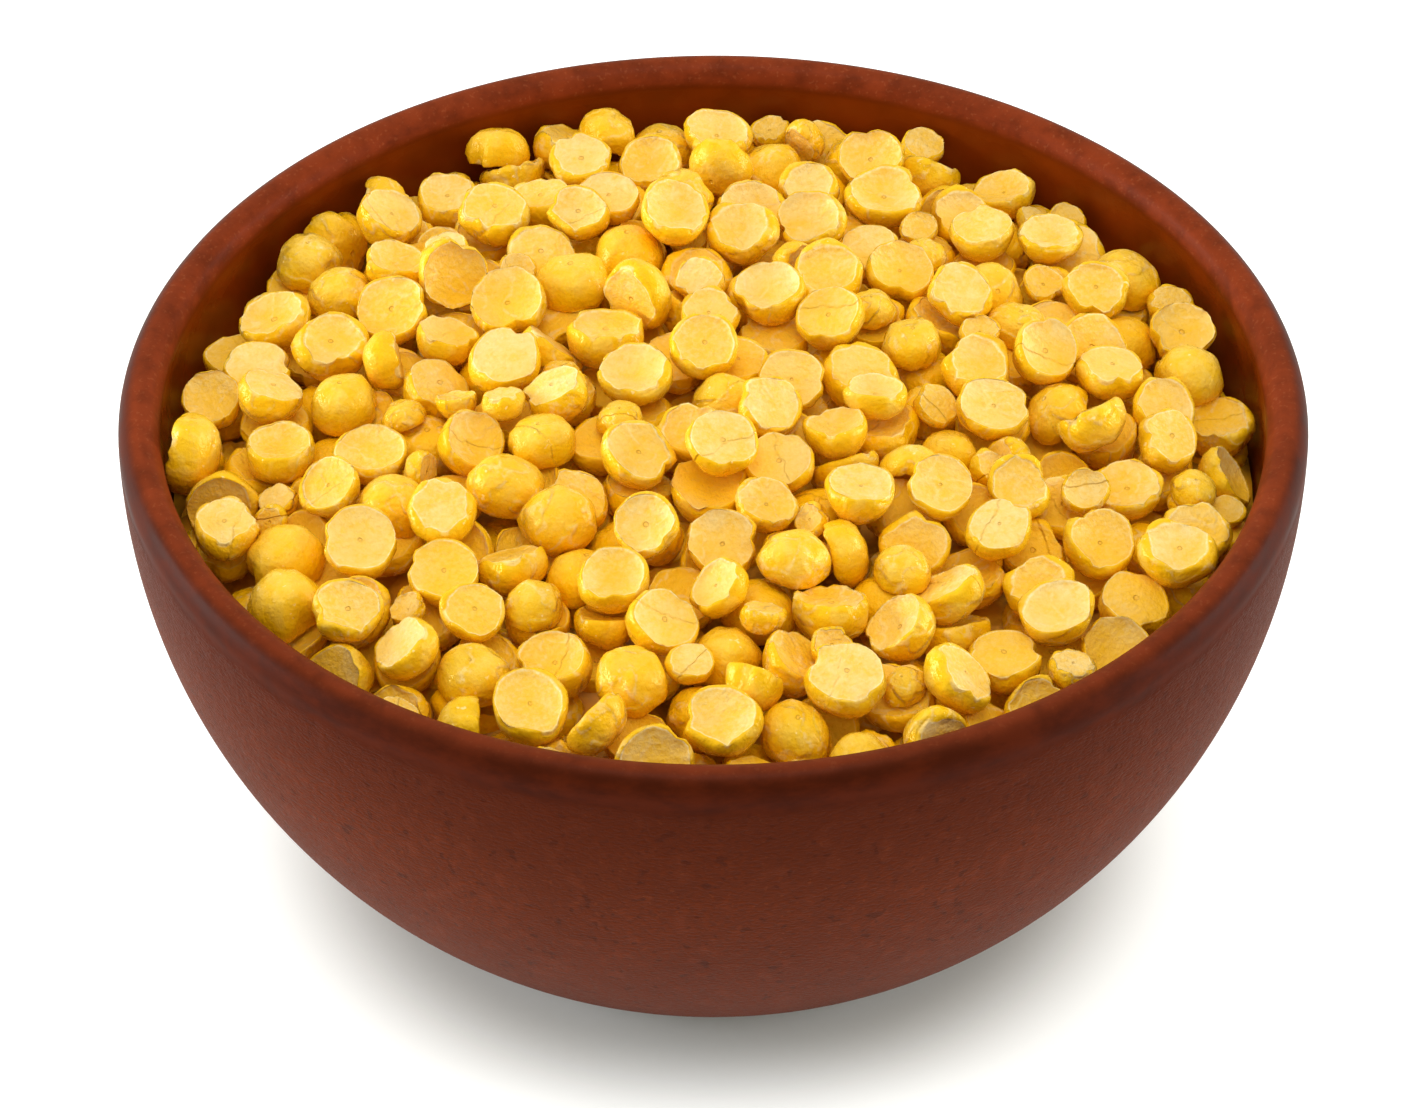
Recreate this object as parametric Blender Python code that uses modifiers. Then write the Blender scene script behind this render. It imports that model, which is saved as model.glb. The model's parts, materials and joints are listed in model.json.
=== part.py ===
"""Bowl of chana dal: a round clay bowl heaped with split chickpeas. Metres, +Z up."""
import math

import bmesh
import bpy
import numpy as np

MM = 0.001

# Bowl
SHOULDER_R = 57.5 * MM      # widest radius
SHOULDER_Z = 52.4 * MM      # height of the widest ring
CREST_Z = 55.0 * MM         # top of the rounded lip
OUTER_DEPTH = 59.4 * MM     # half axis of the outer ellipse, cut flat at the foot
LIP_W = 4.1 * MM            # thickness of the wall at the lip
INNER_R = SHOULDER_R - LIP_W
FLOOR_Z = 5.0 * MM          # thickness under the contents
INNER_DEPTH = SHOULDER_Z - FLOOR_Z
INNER_POWER = 2.3           # fullness of the hollow, 2 is an ellipse
BOWL_STEPS = 64

# Heap
GAP = 0.36 * MM             # clearance between the heap and the bowl
MOUND_TOP = 55.0 * MM       # mean surface at the centre
MOUND_EDGE = 49.3 * MM      # mean surface at the wall
CORE_SINK = 2.0 * MM        # core below the mean surface
CORE_STEPS = 32
FOOTING = 0.5 * MM          # depth to which each shown grain reaches into the core

# Grains
GRAIN_W = 6.9 * MM
GRAIN_COUNT = 520           # grains settled to form the heap
GRAIN_SHOWN = 208           # grains fused on, those that show most
CRUMBS = 45                 # small pieces that settle last
SHAPES = 14                 # kinds of split grain
SIDES = 6                   # sides of a fused grain
SHARES = (0.60, 0.16, 0.24)  # flat face up, on edge, round side up
LEAN = 0.34                 # slope of the flat faces towards the front
BED_DEPTH = 9.0 * MM        # depth at which the first grains lie
CELL = 0.42 * MM            # grid on which they settle
SEED = 7


def hollow_radius(z, inset=0.0):
    """Radius of the hollow at height z, less an inset."""
    depth = np.clip((SHOULDER_Z - z) / (INNER_DEPTH - inset), 0.0, 1.0)
    return (INNER_R - inset) * (1 - depth ** INNER_POWER) ** (1 / INNER_POWER)


def mound_height(x, y):
    """Mean surface of the heap."""
    return MOUND_TOP - (MOUND_TOP - MOUND_EDGE) * (x * x + y * y) / INNER_R ** 2


def grain_span(normal_frames, radii, cut, fx, fy):
    """Lower and upper surface of each turned grain over a small grid round its centre."""
    face = normal_frames[:, :, 2]
    u = face * 0 + normal_frames[:, 2, :] / radii
    v = fx[None, :, :, None] * normal_frames[:, None, None, 0, :]
    v = (v + fy[None, :, :, None] * normal_frames[:, None, None, 1, :]) / radii
    a = (u * u).sum(1)[:, None, None]
    b = (v * u[:, None, None, :]).sum(-1)
    c = (v * v).sum(-1) - 1
    spread = b * b - a * c
    inside = spread > 0
    root = np.sqrt(np.where(inside, spread, 0))
    low = (-b - root) / a
    high = (-b + root) / a
    nz = np.where(abs(face[:, 2]) < 1e-3, 1e-3, face[:, 2])
    flat = (cut - face[:, 0, None, None] * fx - face[:, 1, None, None] * fy) / nz[:, None, None]
    upward = (nz > 0)[:, None, None]
    high = np.where(upward, np.minimum(high, flat), high)
    low = np.where(upward, low, np.maximum(low, flat))
    return low, high, inside & (low < high), nz


def grain_frames(x, y, kind, tilt, azimuth, spin):
    """Axes of each grain as columns: long axis, short axis, normal of the flat face."""
    slope = 2 * (MOUND_TOP - MOUND_EDGE) / INNER_R ** 2
    lean = LEAN if kind < 2 else 0.0
    up = np.stack([x * slope, y * slope - lean, np.ones(len(x))], 1)
    up /= np.linalg.norm(up, axis=1)[:, None]
    side = np.cross(up, [0, 1, 0])
    side /= np.linalg.norm(side, axis=1)[:, None]
    other = np.cross(up, side)
    turned = np.cos(azimuth)[:, None] * side + np.sin(azimuth)[:, None] * other
    normal = np.cos(tilt)[:, None] * up + np.sin(tilt)[:, None] * turned
    long_axis = np.cross(normal, np.stack([np.cos(spin), np.sin(spin), 0.3 * np.ones(len(x))], 1))
    long_axis /= np.linalg.norm(long_axis, axis=1)[:, None]
    return np.stack([long_axis, np.cross(normal, long_axis), normal], 2)


def settle_grains():
    """Drop the grains one by one where each comes to rest lowest. Returns them and their seen areas."""
    rng = np.random.default_rng(SEED)
    half = int(math.ceil(4.1 * MM / CELL))
    size = 2 * int(INNER_R / CELL) + 2 * half + 3
    middle = (size - 1) / 2
    line = (np.arange(size) - middle) * CELL
    gx, gy = np.meshgrid(line, line, indexing="ij")
    room = INNER_R - 0.55 * MM
    reach = np.minimum(np.hypot(gx, gy) / room, 1)
    wall = SHOULDER_Z - INNER_DEPTH * (1 - reach ** INNER_POWER) ** (1 / INNER_POWER)
    wall = np.where(reach < 1, wall, CREST_Z + 30 * MM)
    bed = np.maximum(mound_height(gx, gy) - BED_DEPTH, wall)
    owner = -np.ones(bed.shape, int)
    steps = np.arange(-half, half + 1)
    fx, fy = np.meshgrid(steps * CELL, steps * CELL, indexing="ij")
    px, py = [part.ravel() for part in np.meshgrid(steps[::2], steps[::2], indexing="ij")]
    apart = np.hypot(px, py) * CELL
    kinds = rng.choice(3, GRAIN_COUNT, p=SHARES)
    shapes = rng.integers(SHAPES, size=GRAIN_COUNT)
    limit = INNER_R * 0.97 / CELL
    grains = []
    for number in range(GRAIN_COUNT):
        kind = kinds[number]
        scale = np.clip(rng.normal(1, 0.06), 0.85, 1.14)
        if number >= GRAIN_COUNT - CRUMBS:
            scale = rng.uniform(0.5, 0.7)
        elif rng.random() < 0.07:
            scale = rng.uniform(0.6, 0.8)
        half_w = GRAIN_W / 2 * scale
        radii = half_w * np.array([1, rng.uniform(0.88, 1.0), rng.uniform(0.86, 1.02)])
        cut = radii[2] * (0.12 + 0.18 * ((shapes[number] * 0.618) % 1))
        under = apart < 0.84 * half_w
        ball = 0.72 * half_w * np.sqrt(1 - (apart[under] / (0.84 * half_w)) ** 2)
        best = None
        for stage in range(3):
            if stage == 0:
                r = limit * np.sqrt(rng.random(300))
                t = rng.uniform(0, 2 * math.pi, 300)
                i = np.rint(r * np.cos(t) + middle).astype(int)
                j = np.rint(r * np.sin(t) + middle).astype(int)
                near = bed[i[:, None] + px[None, under], j[:, None] + py[None, under]]
                rest = (near + ball[None, :]).max(1) - mound_height(line[i], line[j])
                lowest = np.argsort(rest)[:14]
                i = np.repeat(i[lowest], 4)
                j = np.repeat(j[lowest], 4)
                tilts = (abs(rng.normal(0, 22, 56)), rng.uniform(45, 100, 56), 180 - abs(rng.normal(0, 28, 56)))
                tilt = np.radians(tilts[kind])
                azimuth, spin = rng.uniform(0, 2 * math.pi, (2, 56))
            else:
                shift, turn = ((3, 0.35), (1, 0.15))[stage - 1]
                i = best[0] + rng.integers(-shift, shift + 1, 30)
                j = best[1] + rng.integers(-shift, shift + 1, 30)
                tilt = best[2] + rng.normal(0, turn * 0.7, 30)
                azimuth = best[3] + rng.normal(0, turn, 30)
                spin = best[4] + rng.normal(0, turn, 30)
                held = np.hypot(i - middle, j - middle) < limit
                i, j, tilt, azimuth, spin = [part[held] for part in (i, j, tilt, azimuth, spin)]
                if not len(i):
                    continue
            frames = grain_frames(line[i], line[j], kind, tilt, azimuth, spin)
            low, high, inside, nz = grain_span(frames, radii, cut, fx, fy)
            window = bed[i[:, None, None] + steps[None, :, None], j[:, None, None] + steps[None, None, :]]
            z = np.where(inside, window - low, -np.inf).max((1, 2))
            score = z - 0.27 * radii[2] * nz - mound_height(line[i], line[j])
            q = int(np.argmin(score))
            if best is None or score[q] < best[5]:
                top = np.where(inside[q], z[q] + high[q], -np.inf)
                best = (i[q], j[q], tilt[q], azimuth[q], spin[q], score[q], z[q], frames[q], top)
        i, j, top = best[0], best[1], best[8]
        over = bed[i - half:i + half + 1, j - half:j + half + 1]
        seen = owner[i - half:i + half + 1, j - half:j + half + 1]
        higher = top > over
        over[higher] = top[higher]
        seen[higher] = number
        centre = np.array([line[i], line[j], best[6]])
        grains.append((centre, best[7], radii, cut, kind, shapes[number]))
    areas = np.bincount(owner[owner >= 0], minlength=GRAIN_COUNT) * CELL * CELL
    return grains, areas


def make_material(name, colour, roughness):
    material = bpy.data.materials.new(name)
    material.use_nodes = True
    shader = material.node_tree.nodes["Principled BSDF"]
    shader.inputs["Base Color"].default_value = (*colour, 1)
    shader.inputs["Roughness"].default_value = roughness
    return material


def turn_profile(name, points, steps, collection):
    """Body of revolution from a profile in the XZ plane, through the Screw modifier."""
    mesh = bpy.data.meshes.new(name)
    mesh.from_pydata([(r, 0, z) for r, z in points], [(k, k + 1) for k in range(len(points) - 1)], [])
    body = bpy.data.objects.new(name, mesh)
    collection.objects.link(body)
    screw = body.modifiers.new("turn", "SCREW")
    screw.steps = steps
    screw.render_steps = steps
    screw.use_merge_vertices = True
    screw.merge_threshold = 0.00001
    apply_modifiers(body)
    return body


def apply_modifiers(body):
    """Replace the mesh of an object by its evaluated one."""
    graph = bpy.context.evaluated_depsgraph_get()
    mesh = bpy.data.meshes.new_from_object(body.evaluated_get(graph))
    old = body.data
    body.modifiers.clear()
    body.data = mesh
    bpy.data.meshes.remove(old)


def bowl_profile():
    points = [(0.0, FLOOR_Z)]
    for angle in np.radians(np.linspace(78, 0, 10)):
        r = INNER_R * math.cos(angle) ** (2 / INNER_POWER)
        points.append((r, SHOULDER_Z - INNER_DEPTH * math.sin(angle) ** (2 / INNER_POWER)))
    for angle in np.radians(np.linspace(180, 0, 9))[1:]:
        r = SHOULDER_R - LIP_W / 2 + LIP_W / 2 * math.cos(angle)
        points.append((r, SHOULDER_Z + (CREST_Z - SHOULDER_Z) * math.sin(angle)))
    last = math.asin(SHOULDER_Z / OUTER_DEPTH)
    for angle in np.linspace(0, last, 10)[1:]:
        points.append((SHOULDER_R * math.cos(angle), SHOULDER_Z - OUTER_DEPTH * math.sin(angle)))
    foot_r = points.pop()[0]
    points.append((foot_r + 0.5 * MM, 0.35 * MM))
    points.append((foot_r - 0.4 * MM, 0.0))
    points.append((0.0, 0.0))
    return points


def core_profile():
    """Inside of the heap: its mean surface lowered, and the hollow less the gap."""
    points = [(0.0, MOUND_TOP - CORE_SINK)]
    edge_z = MOUND_EDGE - CORE_SINK
    edge_r = float(hollow_radius(edge_z, GAP))
    for r in np.linspace(0, edge_r, 4)[1:]:
        points.append((r, mound_height(r, 0) - CORE_SINK))
    points[-1] = (edge_r, points[-1][1])
    start = math.asin(((SHOULDER_Z - points[-1][1]) / (INNER_DEPTH - GAP)) ** (INNER_POWER / 2))
    for angle in np.linspace(start, math.radians(78), 8)[1:]:
        r = (INNER_R - GAP) * math.cos(angle) ** (2 / INNER_POWER)
        points.append((r, SHOULDER_Z - (INNER_DEPTH - GAP) * math.sin(angle) ** (2 / INNER_POWER)))
    points.append((0.0, FLOOR_Z + GAP))
    return points


def make_grain(grain, number, collection):
    """One split grain with few sides: a ball cut flat, held clear of the bowl and footed in the core."""
    centre, frame, radii, cut, kind, shape = grain
    rings, widen = (4, 1.07) if kind == 2 else (3, 1.16)
    work = bmesh.new()
    bmesh.ops.create_uvsphere(work, u_segments=SIDES, v_segments=rings, radius=1.0)
    parts = work.verts[:] + work.edges[:] + work.faces[:]
    level = (0, 0, cut / radii[2])
    bmesh.ops.bisect_plane(work, geom=parts, plane_co=level, plane_no=(0, 0, 1), clear_outer=True)
    rim = [edge for edge in work.edges if edge.is_boundary]
    flat_face = bmesh.ops.contextual_create(work, geom=rim)["faces"]
    if kind == 2:
        bmesh.ops.poke(work, faces=flat_face)
    for vert in work.verts:
        spot = np.array(vert.co) * radii * (widen, widen, 1)
        place = frame @ spot + centre
        allowed = float(hollow_radius(place[2], GAP)) * 0.9995
        rho = math.hypot(place[0], place[1])
        if rho > allowed:
            place[:2] *= allowed / rho
        vert.co = place
    bmesh.ops.triangulate(work, faces=work.faces)
    foot = min(work.verts, key=lambda vert: vert.co.z)
    core_top = mound_height(foot.co.x, foot.co.y) - CORE_SINK
    foot.co.z = min(foot.co.z, core_top - FOOTING)
    bmesh.ops.recalc_face_normals(work, faces=work.faces)
    mesh = bpy.data.meshes.new(f"grain_{number}")
    work.to_mesh(mesh)
    work.free()
    body = bpy.data.objects.new(mesh.name, mesh)
    collection.objects.link(body)
    return body


def find_shells(work):
    """Sets of faces joined over plain edges, largest first."""
    shells = []
    waiting = set(work.faces)
    while waiting:
        first = waiting.pop()
        shell = [first]
        front = [first]
        while front:
            face = front.pop()
            for edge in face.edges:
                for neighbour in edge.link_faces if edge.is_manifold else ():
                    if neighbour in waiting:
                        waiting.discard(neighbour)
                        shell.append(neighbour)
                        front.append(neighbour)
        shells.append(shell)
    return sorted(shells, key=len, reverse=True)


def flip_shared_diagonals(work, origin):
    """Where two polygons were split along the same line, turn the diagonal of one of them."""
    for edge in [edge for edge in work.edges if len(edge.link_faces) > 2]:
        for first in list(edge.link_faces):
            twins = [face for face in edge.link_faces if face is not first and face[origin] == first[origin]]
            if not twins:
                continue
            one, two = edge.verts
            tip = [vert for vert in first.verts if vert not in edge.verts][0]
            other = [vert for vert in twins[0].verts if vert not in edge.verts][0]
            normal = first.normal.copy()
            corners = [(tip, one, other), (other, two, tip)]
            turns = [(b.co - a.co).cross(c.co - a.co).dot(normal) for a, b, c in corners]
            if turns[0] * turns[1] <= 0 or work.edges.get((tip, other)):
                continue
            bmesh.ops.delete(work, geom=[first, twins[0]], context="FACES_ONLY")
            for a, b, c in corners:
                work.faces.new((a, b, c) if turns[0] > 0 else (a, c, b))
            break


def clean_union(body):
    """Keep the largest shell, so scraps go and sealed hollows fill, and split it in triangles."""
    work = bmesh.new()
    work.from_mesh(body.data)
    for shell in find_shells(work)[1:]:
        bmesh.ops.delete(work, geom=shell, context="FACES")
    origin = work.faces.layers.int.new("origin")
    for number, face in enumerate(work.faces):
        face[origin] = number
    bmesh.ops.triangulate(work, faces=work.faces, ngon_method="EAR_CLIP")
    flip_shared_diagonals(work, origin)
    work.faces.layers.int.remove(origin)
    work.to_mesh(body.data)
    work.free()


def make_heap(collection, pieces):
    """Core of the heap with the grains that show fused on."""
    heap = turn_profile("dal", core_profile(), CORE_STEPS, collection)
    grains, areas = settle_grains()
    for number in sorted(np.argsort(-areas)[:GRAIN_SHOWN]):
        make_grain(grains[number], number, pieces)
    union = heap.modifiers.new("grains", "BOOLEAN")
    union.operation = "UNION"
    union.operand_type = "COLLECTION"
    union.collection = pieces
    union.solver = "MANIFOLD"
    apply_modifiers(heap)
    for piece in list(pieces.objects):
        mesh = piece.data
        bpy.data.objects.remove(piece)
        bpy.data.meshes.remove(mesh)
    clean_union(heap)
    return heap


def main():
    for item in list(bpy.data.objects):
        bpy.data.objects.remove(item)
    collection = bpy.data.collections.new("bowl_of_chana_dal")
    bpy.context.scene.collection.children.link(collection)
    pieces = bpy.data.collections.new("cutters")
    bpy.context.scene.collection.children.link(pieces)

    bowl = turn_profile("bowl", bowl_profile(), BOWL_STEPS, collection)
    bowl.data.materials.clear()
    bowl.data.materials.append(make_material("clay", (0.12, 0.025, 0.010), 0.45))
    bowl.data.shade_smooth()
    bowl.data.set_sharp_from_angle(angle=math.radians(40))

    heap = make_heap(collection, pieces)
    heap.data.materials.clear()
    heap.data.materials.append(make_material("split_chickpea", (0.80, 0.50, 0.10), 0.5))
    bpy.data.collections.remove(pieces)


main()
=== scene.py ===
"""Clay bowl heaped with split chickpeas: its pieces, finishes, light and camera. Metres, +Z up."""

import json
import math

import bpy
import numpy as np
from bpy.props import FloatProperty, FloatVectorProperty, IntProperty, PointerProperty
from mathutils import Matrix, Vector

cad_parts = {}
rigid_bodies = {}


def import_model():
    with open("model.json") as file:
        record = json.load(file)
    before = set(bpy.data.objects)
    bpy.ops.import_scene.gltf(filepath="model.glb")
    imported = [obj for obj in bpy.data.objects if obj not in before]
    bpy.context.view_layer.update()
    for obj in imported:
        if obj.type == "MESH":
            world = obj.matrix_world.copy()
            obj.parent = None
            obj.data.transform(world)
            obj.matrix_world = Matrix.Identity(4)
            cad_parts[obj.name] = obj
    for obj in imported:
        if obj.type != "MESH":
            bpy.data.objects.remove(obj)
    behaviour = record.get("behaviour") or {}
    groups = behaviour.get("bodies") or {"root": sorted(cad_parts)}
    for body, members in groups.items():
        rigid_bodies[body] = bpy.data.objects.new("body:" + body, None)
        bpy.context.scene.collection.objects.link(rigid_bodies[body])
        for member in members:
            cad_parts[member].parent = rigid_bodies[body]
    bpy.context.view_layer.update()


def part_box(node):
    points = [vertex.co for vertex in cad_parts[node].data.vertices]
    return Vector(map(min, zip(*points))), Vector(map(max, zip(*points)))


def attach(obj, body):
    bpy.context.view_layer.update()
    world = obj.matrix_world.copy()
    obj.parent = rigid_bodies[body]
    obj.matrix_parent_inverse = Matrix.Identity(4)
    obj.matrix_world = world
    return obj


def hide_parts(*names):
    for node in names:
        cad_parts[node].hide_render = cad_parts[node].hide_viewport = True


bl_info = {
    "name": "Bowl of Split Chickpeas",
    "version": (1, 0, 0),
    "blender": (4, 5, 0),
    "location": "View3D > Sidebar > Pulses",
    "description": "Builds a clay bowl heaped with split chickpeas, and its stage",
    "category": "Object",
}

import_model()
BOWL_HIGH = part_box("bowl")[1]

MM = 0.001
FRAME_W = 1419  # pixels across the reference frame


# Sizes and colours that a user would change

class BowlSettings(bpy.types.PropertyGroup):
    """Sizes and colours of the clay bowl."""

    shoulder_radius: FloatProperty(
        name="Shoulder Radius", description="Widest radius of the bowl",
        default=BOWL_HIGH.x, min=0.01, unit="LENGTH")
    shoulder_height: FloatProperty(
        name="Shoulder Height", description="Height of the widest ring",
        default=52.4 * MM, min=0.01, unit="LENGTH")
    crest_height: FloatProperty(
        name="Crest Height", description="Height of the top of the lip",
        default=BOWL_HIGH.z, min=0.01, unit="LENGTH")
    outer_depth: FloatProperty(
        name="Outer Depth", description="Half axis of the outer ellipse under the shoulder",
        default=59.4 * MM, min=0.01, unit="LENGTH")
    lip_width: FloatProperty(
        name="Lip Width", description="Thickness of the wall at the lip",
        default=4.1 * MM, min=0.001, unit="LENGTH")
    floor_height: FloatProperty(
        name="Floor Thickness", description="Thickness of clay under the contents",
        default=5.0 * MM, min=0.001, unit="LENGTH")
    hollow_power: FloatProperty(
        name="Hollow Fullness", description="Fullness of the hollow, 2 is an ellipse",
        default=2.3, min=1.0, max=6.0)
    unevenness: FloatProperty(
        name="Unevenness", description="How far the hand-turned wall strays from round",
        default=0.18 * MM, min=0.0, unit="LENGTH")
    wall_colour: FloatVectorProperty(
        name="Wall", description="Matte clay of the outer wall",
        default=(0.092, 0.0138, 0.0015), size=3, min=0, max=1, subtype="COLOR")
    lip_colour: FloatVectorProperty(
        name="Lip", description="Burnished clay of the lip",
        default=(0.053, 0.0070, 0.0011), size=3, min=0, max=1, subtype="COLOR")
    crown_colour: FloatVectorProperty(
        name="Crown", description="Worn clay along the top of the lip",
        default=(0.178, 0.028, 0.007), size=3, min=0, max=1, subtype="COLOR")
    hollow_colour: FloatVectorProperty(
        name="Hollow", description="Polished clay of the inner wall",
        default=(0.190, 0.031, 0.0014), size=3, min=0, max=1, subtype="COLOR")


class HeapSettings(bpy.types.PropertyGroup):
    """Sizes and colours of the heap of split chickpeas."""

    mound_top: FloatProperty(
        name="Mound Top", description="Mean surface of the heap at its centre",
        default=55.0 * MM, unit="LENGTH")
    mound_edge: FloatProperty(
        name="Mound Edge", description="Mean surface of the heap at the wall",
        default=49.3 * MM, unit="LENGTH")
    bed_depth: FloatProperty(
        name="Bed Depth", description="Depth under the mean surface at which the first halves lie",
        default=9.0 * MM, min=0.001, unit="LENGTH")
    core_sink: FloatProperty(
        name="Core Depth", description="Depth of the core under the mean surface",
        default=6.0 * MM, min=0.001, unit="LENGTH")
    gap: FloatProperty(
        name="Wall Gap", description="Clearance between the core and the bowl",
        default=0.36 * MM, min=0.0, unit="LENGTH")
    width: FloatProperty(
        name="Half Width", description="Mean width of a split chickpea",
        default=6.9 * MM, min=0.001, unit="LENGTH")
    count: IntProperty(
        name="Halves", description="Split chickpeas settled on the bed",
        default=520, min=1, max=1200)
    crumbs: IntProperty(
        name="Fragments", description="Small fragments that settle last",
        default=45, min=0, max=300)
    lean: FloatProperty(
        name="Lean", description="Slope of the flat faces towards the front", default=0.34)
    nod: FloatProperty(
        name="Nod", description="Further turn of the halves to the front once they lie",
        default=0.13, subtype="ANGLE")
    seed: IntProperty(name="Seed", description="Seed of the settling", default=7, min=0)
    flesh_colour: FloatVectorProperty(
        name="Flat Face", description="Pale split face",
        default=(0.84, 0.605, 0.225), size=3, min=0, max=1, subtype="COLOR")
    skin_colour: FloatVectorProperty(
        name="Round Side", description="Golden outside of the pulse",
        default=(0.84, 0.485, 0.002), size=3, min=0, max=1, subtype="COLOR")
    edge_colour: FloatVectorProperty(
        name="Edge", description="Rubbed edge of the flat face and its chips",
        default=(0.89, 0.73, 0.42), size=3, min=0, max=1, subtype="COLOR")
    # Painted shade: the core's dark gold stands for the shade seen between the halves
    core_shade_colour: FloatVectorProperty(
        name="Core", description="Packed pulses deep in the heap",
        default=(0.80, 0.36, 0.010), size=3, min=0, max=1, subtype="COLOR")


class StageSettings(bpy.types.PropertyGroup):
    """Camera, floor and light."""

    pitch: FloatProperty(
        name="Pitch", description="Angle at which the camera looks down",
        default=math.radians(39.46), subtype="ANGLE")
    distance: FloatProperty(
        name="Distance", description="Distance from the camera to its target",
        default=0.6395, min=0.1, unit="LENGTH")
    focal_pixels: FloatProperty(
        name="Focal Length", description="Focal length in pixels of the frame",
        default=6500.0, min=100)
    target: FloatVectorProperty(
        name="Target", description="Point that the camera looks at",
        default=(-0.00037, 0.0, 0.0344), size=3, subtype="TRANSLATION")
    side_power: FloatProperty(
        name="Side Lights", description="Power of the side soft boxes",
        default=8.6)
    back_power: FloatProperty(
        name="Back Light", description="Power of the soft box above and behind",
        default=0.6)
    over_power: FloatProperty(
        name="Overhead Light", description="Power of the soft box overhead",
        default=0.86)
    front_power: FloatProperty(
        name="Front Light", description="Power of the high front soft box",
        default=1.24)
    world_level: FloatProperty(
        name="Fill", description="Brightness of the surroundings",
        default=0.91)
    world_colour: FloatVectorProperty(
        name="Fill Colour", description="Tint of the surroundings",
        default=(1.0, 0.93, 0.70), size=3, min=0, max=1, subtype="COLOR")
    # Painted light: the floor glows by itself away from the bowl and not under it, which paints the
    # floor's shadow there
    painted_floor_light: FloatProperty(
        name="Floor Glow", description="Light of the pale floor itself, as on a light table",
        default=0.60)
    floor_colour: FloatVectorProperty(
        name="Floor", description="Plain pale floor",
        default=(0.69, 0.74, 0.80), size=3, min=0, max=1, subtype="COLOR")


# Shapes

HOLLOW_END = 82  # degrees at which the hollow goes over into its flat floor


def exact(value):
    """A length from a property, without the rounding of its single precision."""
    return round(value / MM, 3) * MM


def smooth_step(low, high, values):
    t = np.clip((np.asarray(values, float) - low) / (high - low), 0, 1)
    return t * t * (3 - 2 * t)


def hollow_radius(bowl, z, inset=0.0):
    """Radius of the hollow at height z, less an inset."""
    radius = exact(bowl.shoulder_radius) - exact(bowl.lip_width) - inset
    depth = exact(bowl.shoulder_height) - exact(bowl.floor_height) - inset
    power = round(bowl.hollow_power, 3)
    share = np.clip((exact(bowl.shoulder_height) - z) / depth, 0.0, 1.0)
    return radius * (1 - share ** power) ** (1 / power)


def new_object(name, data):
    body = bpy.data.objects.new(name, data)
    bpy.context.scene.collection.objects.link(body)
    return body


def evaluated_copy(body, name):
    """A plain mesh object from an object with live modifiers, which is removed."""
    graph = bpy.context.evaluated_depsgraph_get()
    mesh = bpy.data.meshes.new_from_object(body.evaluated_get(graph))
    mesh.name = name
    old = body.data
    bpy.data.objects.remove(body)
    bpy.data.meshes.remove(old)
    return new_object(name, mesh)


def turn_profile(name, points, steps):
    """Body of revolution from a profile in the XZ plane, through the Screw modifier."""
    mesh = bpy.data.meshes.new(name + "_profile")
    edges = [(k, k + 1) for k in range(len(points) - 1)]
    mesh.from_pydata([(r, 0, z) for r, z in points], edges, [])
    profile = new_object(name + "_profile", mesh)
    screw = profile.modifiers.new("turn", "SCREW")
    screw.steps = steps
    screw.render_steps = steps
    screw.use_merge_vertices = True
    screw.merge_threshold = 0.01 * MM
    screw.use_smooth_shade = True
    return evaluated_copy(profile, name)


def mesh_points(mesh):
    points = np.zeros(len(mesh.vertices) * 3)
    mesh.vertices.foreach_get("co", points)
    return points.reshape(-1, 3)


def put_points(mesh, points):
    mesh.vertices.foreach_set("co", points.ravel())
    mesh.update()


def store(mesh, name, values, kind="FLOAT"):
    """Keep values on the vertices under a name that the finish reads."""
    layer = mesh.attributes.new(name, kind, "POINT")
    field = {"FLOAT_VECTOR": "vector", "FLOAT_COLOR": "color"}.get(kind, "value")
    layer.data.foreach_set(field, np.asarray(values).ravel())


def bowl_profile(bowl):
    """Inside floor, hollow, lip, outer wall and foot, from the axis back to the axis."""
    shoulder_r = exact(bowl.shoulder_radius)
    shoulder_z = exact(bowl.shoulder_height)
    lip = exact(bowl.lip_width)
    rise = exact(bowl.crest_height) - shoulder_z
    inner_r = shoulder_r - lip
    depth = shoulder_z - exact(bowl.floor_height)
    power = round(bowl.hollow_power, 3)
    points = [(0.0, exact(bowl.floor_height))]
    for angle in np.radians(np.linspace(HOLLOW_END, 0, 34)):
        r = inner_r * math.cos(angle) ** (2 / power)
        points.append((r, shoulder_z - depth * math.sin(angle) ** (2 / power)))
    for angle in np.radians(np.linspace(180, 0, 29))[1:]:
        r = shoulder_r - lip / 2 + lip / 2 * math.cos(angle)
        points.append((r, shoulder_z + rise * math.sin(angle)))
    last = math.asin(shoulder_z / exact(bowl.outer_depth))
    for angle in np.linspace(0, last, 48)[1:]:
        r = shoulder_r * math.cos(angle)
        points.append((r, shoulder_z - exact(bowl.outer_depth) * math.sin(angle)))
    foot_r = points[-1][0]
    reach = foot_r + 0.001 * MM
    points = [point for point in points[:-1] if point[1] > 0.9 * MM or point[0] < reach]
    for out, up in ((0.42, 0.42), (0.1, 0.15), (-0.3, 0.02), (-0.9, 0.0)):
        points.append((foot_r + out * MM, up * MM))
    points += [(foot_r * 0.6, 0.0), (0.0, 0.0)]
    return points


# The settling of the heap: the same rule and draws as in the solids

MAP_CELL = 0.42 * MM  # cell of the height map
MAP_REACH = 4.1 * MM  # half the window round one half
WALL_ROOM = 0.55 * MM  # clearance of the height map from the wall
OFF_BOWL = 30 * MM  # height that keeps the halves off the lip
FACING_SHARES = (0.60, 0.16, 0.24)  # flat face up, on edge, round side up
PLACES, KEPT_PLACES, TURNS = 300, 14, 4  # first stage: places drawn, places kept, turns tried
LATER_STAGES = ((3, 0.35), (1, 0.15))  # cells of shift and radians of turn
LATER_TRIES = 30
MEAN_CELLS = 7  # reach of the mean surface, in cells


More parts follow.
